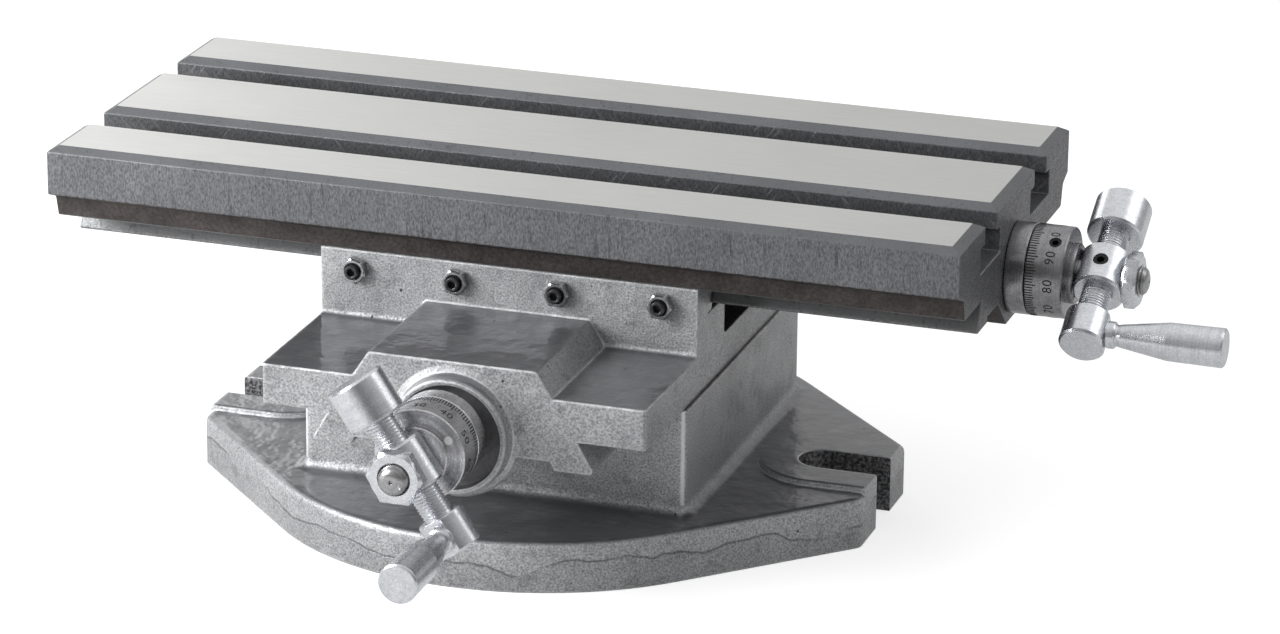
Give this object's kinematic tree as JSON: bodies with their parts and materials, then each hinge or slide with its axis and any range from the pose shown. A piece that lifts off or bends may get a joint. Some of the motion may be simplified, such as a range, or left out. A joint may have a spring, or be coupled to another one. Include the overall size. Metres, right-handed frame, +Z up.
{
  "type": "cross slide table",
  "caption": "Two-axis cross slide table: T-slotted table on crossed dovetail slides with screw feeds, graduated dials and turned cranks, on a flanged base.",
  "frame": {"origin": "centre of the base's underside, midway between the two bolt slots", "axes": "+X along the table towards its crank, +Y from the front crank towards the back, +Z up out of the table top"},
  "size_m": [0.3975, 0.2947, 0.119],
  "materials": {
    "painted_casting": "semi-gloss aluminium-grey paint on cast iron",
    "ground_iron": "ground top, milled sides and as-cast underside",
    "bronze": "machined bronze",
    "bright_steel": "bright turned or ground steel",
    "grey_steel": "satin grey steel",
    "dark_steel": "satin dark steel with engraved black marks",
    "zinc_steel": "turned steel with bright zinc plating",
    "black_steel": "black-oxide steel"
  },
  "bodies": {
    "base": {"base_casting": "painted_casting", "y_nut": "bronze", "y_nut_screws": "black_steel", "y_gib": "bright_steel", "y_gib_screws": "black_steel", "y_gib_locknuts": "grey_steel"},
    "saddle": {"saddle_casting": "painted_casting", "x_nut": "bronze", "x_nut_screws": "black_steel", "x_gib": "bright_steel", "x_gib_screws": "black_steel", "x_gib_locknuts": "grey_steel", "y_index_collar": "dark_steel"},
    "table": {"table_casting": "ground_iron", "x_index_collar": "dark_steel"},
    "y_screw": {"y_leadscrew": "bright_steel", "y_dial": "dark_steel", "y_dial_pin": "bright_steel", "y_dial_screw": "black_steel", "y_crank_arm": "zinc_steel", "y_crank_screw": "black_steel", "y_crank_nut": "zinc_steel", "y_crank_handle": "zinc_steel"},
    "x_screw": {"x_leadscrew": "bright_steel", "x_dial": "dark_steel", "x_dial_pin": "bright_steel", "x_dial_screw": "black_steel", "x_crank_arm": "zinc_steel", "x_crank_screw": "black_steel", "x_crank_nut": "zinc_steel", "x_crank_handle": "zinc_steel"}
  },
  "joints": [
    {"name": "saddle_slide", "type": "slide", "parent": "base", "child": "saddle", "axis": [0, 1, 0], "range_m": [-0.0655, 0.0345]},
    {"name": "table_slide", "type": "slide", "parent": "saddle", "child": "table", "axis": [1, 0, 0], "range_m": [-0.0925, 0.0975]},
    {"name": "y_crank_turn", "type": "hinge", "parent": "saddle", "child": "y_screw", "pos_m": [0, -0.14, 0.055], "axis": [0, 1, 0], "range_deg": [-11790, 6210]},
    {"name": "x_crank_turn", "type": "hinge", "parent": "table", "child": "x_screw", "pos_m": [0.185, 0.0155, 0.0905], "axis": [1, 0, 0], "range_deg": [-16650, 17550]}
  ],
  "couplings": [
    {"joint": "y_crank_turn", "follows": "saddle_slide", "rad_per_m": 3141.6},
    {"joint": "x_crank_turn", "follows": "table_slide", "rad_per_m": 3141.6}
  ]
}
